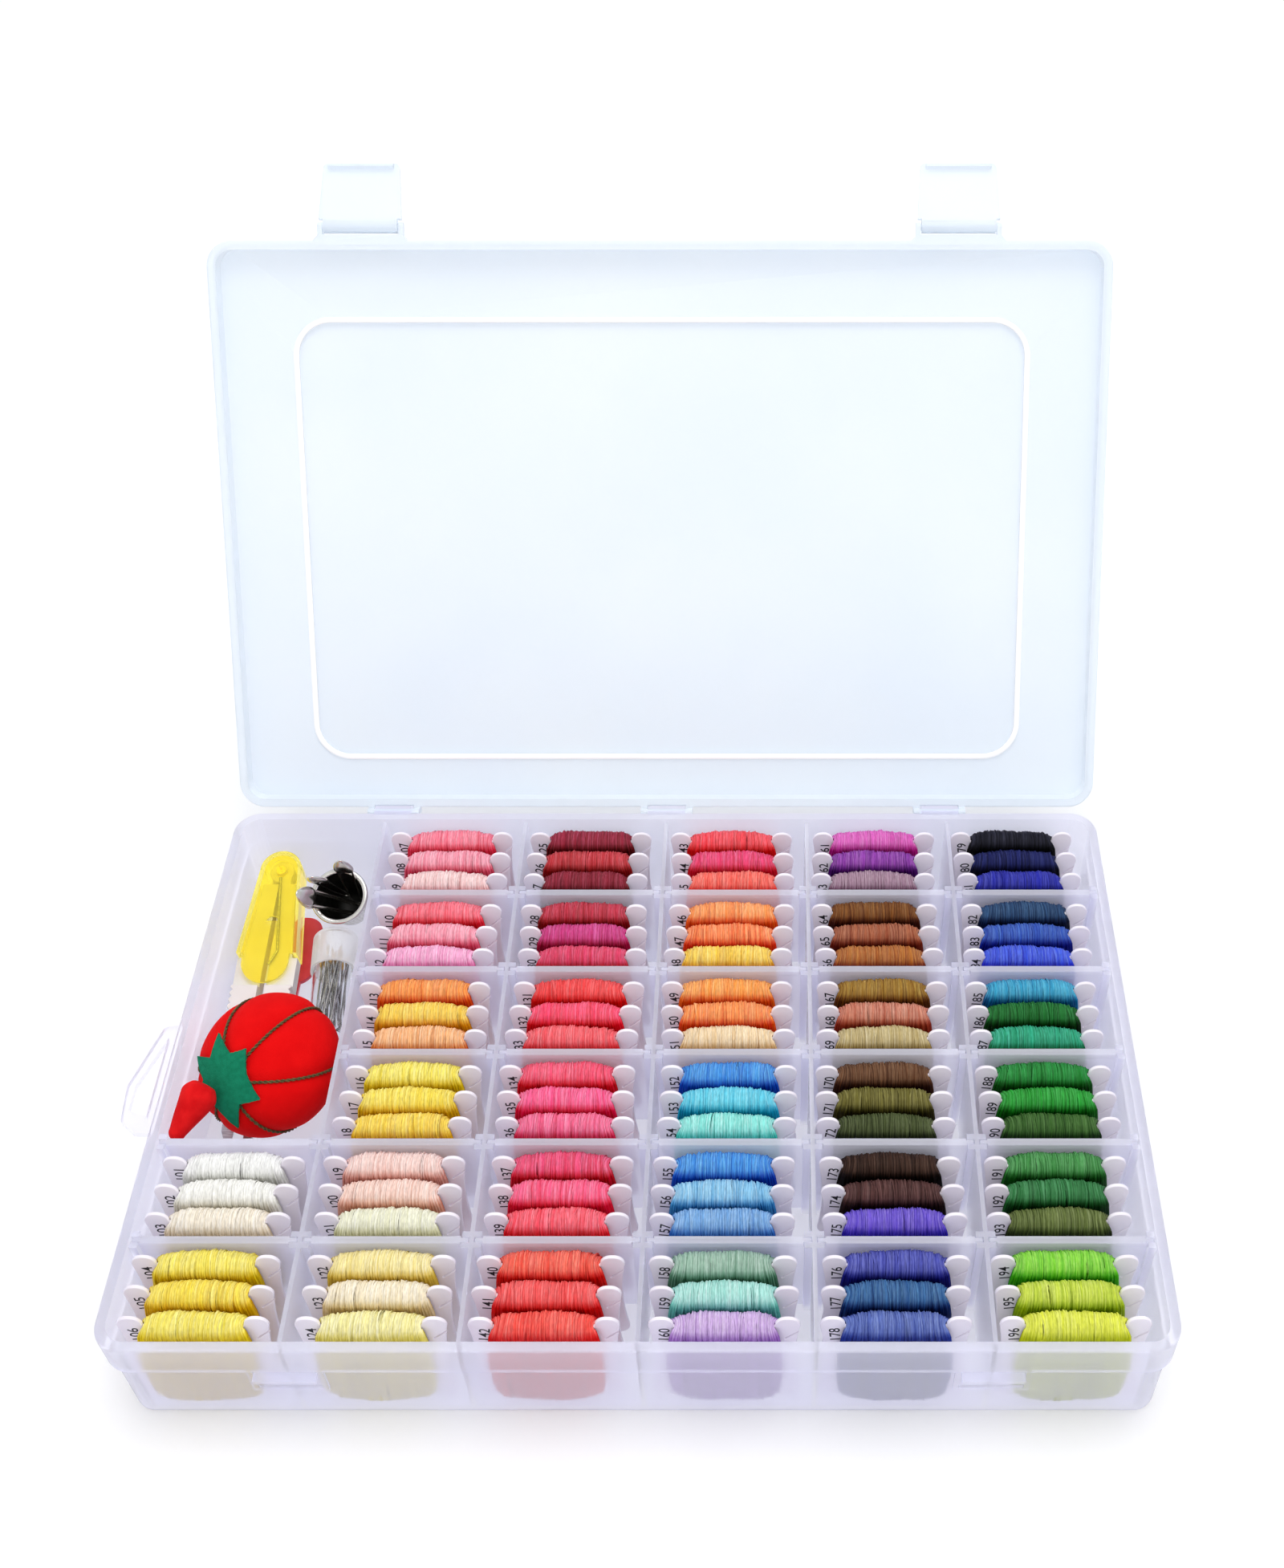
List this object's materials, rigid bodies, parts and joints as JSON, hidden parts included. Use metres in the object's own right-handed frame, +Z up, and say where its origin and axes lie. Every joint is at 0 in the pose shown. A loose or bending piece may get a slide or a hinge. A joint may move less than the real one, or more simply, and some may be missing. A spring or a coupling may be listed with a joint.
{
  "type": "embroidery thread box",
  "caption": "Translucent compartment box with a hinged lid and snap latches, filled with wound floss bobbins and a bay of small sewing tools.",
  "frame": {"origin": "centre of the base's underside", "axes": "+X to the right along the box's length, +Y towards the hinge, +Z up out of the open base"},
  "size_m": [0.2855, 0.2976, 0.2045],
  "materials": {
    "tray_plastic": "frosted translucent polypropylene",
    "lid_plastic": "frosted translucent polypropylene",
    "divider_plastic": "frosted translucent polypropylene",
    "card_plastic": "smooth white",
    "thread_column_1": "stranded embroidery cotton, several shades",
    "thread_front_1": "stranded embroidery cotton",
    "thread_column_2": "stranded embroidery cotton, several shades",
    "thread_front_2": "stranded embroidery cotton",
    "thread_column_3": "stranded embroidery cotton, several shades",
    "thread_front_3": "stranded embroidery cotton",
    "thread_column_4": "stranded embroidery cotton, several shades",
    "thread_front_4": "stranded embroidery cotton",
    "thread_column_5": "stranded embroidery cotton, several shades",
    "thread_front_5": "stranded embroidery cotton",
    "thread_column_6": "stranded embroidery cotton, several shades",
    "thread_front_6": "stranded embroidery cotton",
    "snips_yellow": "clear tinted",
    "snips_white": "smooth",
    "steel": "fine brushed",
    "nickel": "nickel plated",
    "tube_clear": "clear",
    "tube_frosted": "frosted",
    "needle_steel": "polished",
    "threader_red": "smooth",
    "cushion_red": "fine cotton over stuffing",
    "calyx_green": "felt",
    "cord_olive": "twisted cord"
  },
  "bodies": {
    "base": {"base_tray": "tray_plastic", "dividers_column_2": "divider_plastic", "dividers_column_3": "divider_plastic", "dividers_column_4": "divider_plastic", "dividers_column_5": "divider_plastic", "dividers_column_6": "divider_plastic", "bobbin_cards_column_1": "card_plastic", "bobbin_cards_column_2": "card_plastic", "bobbin_cards_column_3": "card_plastic", "bobbin_cards_column_4": "card_plastic", "bobbin_cards_column_5": "card_plastic", "bobbin_cards_column_6": "card_plastic", "thread_windings_column_1": "thread_column_1", "thread_windings_column_2": "thread_column_2", "thread_windings_column_3": "thread_column_3", "thread_windings_column_4": "thread_column_4", "thread_windings_column_5": "thread_column_5", "thread_windings_column_6": "thread_column_6", "needle_tube": "tube_clear", "needle_tube_cap": "tube_frosted", "needles": "needle_steel", "threader_handle": "threader_red", "threader_wire": "steel", "snips_cover": "snips_yellow", "snips_pivot": "snips_yellow", "snips_spring": "steel"},
    "lid": {"lid": "lid_plastic"},
    "latch_left": {"latch_left": "lid_plastic"},
    "latch_right": {"latch_right": "lid_plastic"},
    "snips_left_half": {"snips_handle_left": "snips_white", "snips_blade_left": "steel"},
    "snips_right_half": {"snips_handle_right": "snips_white", "snips_blade_right": "steel"},
    "pincushion": {"pincushion": "cushion_red", "pincushion_calyx": "calyx_green", "pincushion_cords": "cord_olive", "strawberry_emery": "cushion_red"},
    "thimble": {"thimble": "nickel", "safety_pin_wires": "nickel", "safety_pin_caps": "nickel"},
    "divider_behind_row_5": {"divider_behind_row_5": "divider_plastic"},
    "divider_behind_row_6": {"divider_behind_row_6": "divider_plastic"},
    "front_bobbin_1": {"front_bobbin_card_1": "card_plastic", "front_thread_winding_1": "thread_front_1"},
    "front_bobbin_2": {"front_bobbin_card_2": "card_plastic", "front_thread_winding_2": "thread_front_2"},
    "front_bobbin_3": {"front_bobbin_card_3": "card_plastic", "front_thread_winding_3": "thread_front_3"},
    "front_bobbin_4": {"front_bobbin_card_4": "card_plastic", "front_thread_winding_4": "thread_front_4"},
    "front_bobbin_5": {"front_bobbin_card_5": "card_plastic", "front_thread_winding_5": "thread_front_5"},
    "front_bobbin_6": {"front_bobbin_card_6": "card_plastic", "front_thread_winding_6": "thread_front_6"}
  },
  "joints": [
    {"name": "lid_hinge", "type": "hinge", "parent": "base", "child": "lid", "pos_m": [0, 0.0902, 0.0375], "axis": [-1, 0, 0], "range_deg": [-122.5, 0]},
    {"name": "latch_left_hinge", "type": "hinge", "parent": "lid", "child": "latch_left", "pos_m": [-0.0905, 0.19145, 0.1901], "axis": [-1, 0, 0], "range_deg": [-110, 0]},
    {"name": "latch_right_hinge", "type": "hinge", "parent": "lid", "child": "latch_right", "pos_m": [0.0905, 0.19145, 0.1901], "axis": [-1, 0, 0], "range_deg": [-110, 0]},
    {"name": "snips_left_squeeze", "type": "hinge", "parent": "base", "child": "snips_left_half", "pos_m": [-0.1246, 0.07852, 0.01977], "axis": [0, -0.1928, 0.9812], "range_deg": [0, 1.05], "stiffness_Nm_per_rad": 0.6},
    {"name": "snips_right_squeeze", "type": "hinge", "parent": "base", "child": "snips_right_half", "pos_m": [-0.1246, 0.07852, 0.01977], "axis": [0, -0.1928, 0.9812], "range_deg": [-1.05, 0], "stiffness_Nm_per_rad": 0.6},
    {"name": "pincushion_lift", "type": "slide", "parent": "base", "child": "pincushion", "axis": [0, 0, 1], "range_m": [0, 0.06]},
    {"name": "thimble_lift", "type": "slide", "parent": "base", "child": "thimble", "axis": [0, 0, 1], "range_m": [0, 0.05]},
    {"name": "divider_behind_row_5_lift", "type": "slide", "parent": "base", "child": "divider_behind_row_5", "axis": [0, 0, 1], "range_m": [0, 0.045]},
    {"name": "divider_behind_row_6_lift", "type": "slide", "parent": "base", "child": "divider_behind_row_6", "axis": [0, 0, 1], "range_m": [0, 0.045]},
    {"name": "front_bobbin_1_lift", "type": "slide", "parent": "base", "child": "front_bobbin_1", "axis": [0, 0, 1], "range_m": [0, 0.045]},
    {"name": "front_bobbin_2_lift", "type": "slide", "parent": "base", "child": "front_bobbin_2", "axis": [0, 0, 1], "range_m": [0, 0.045]},
    {"name": "front_bobbin_3_lift", "type": "slide", "parent": "base", "child": "front_bobbin_3", "axis": [0, 0, 1], "range_m": [0, 0.045]},
    {"name": "front_bobbin_4_lift", "type": "slide", "parent": "base", "child": "front_bobbin_4", "axis": [0, 0, 1], "range_m": [0, 0.045]},
    {"name": "front_bobbin_5_lift", "type": "slide", "parent": "base", "child": "front_bobbin_5", "axis": [0, 0, 1], "range_m": [0, 0.045]},
    {"name": "front_bobbin_6_lift", "type": "slide", "parent": "base", "child": "front_bobbin_6", "axis": [0, 0, 1], "range_m": [0, 0.045]}
  ],
  "couplings": [
    {"joint": "snips_right_squeeze", "follows": "snips_left_squeeze", "ratio": -1}
  ]
}
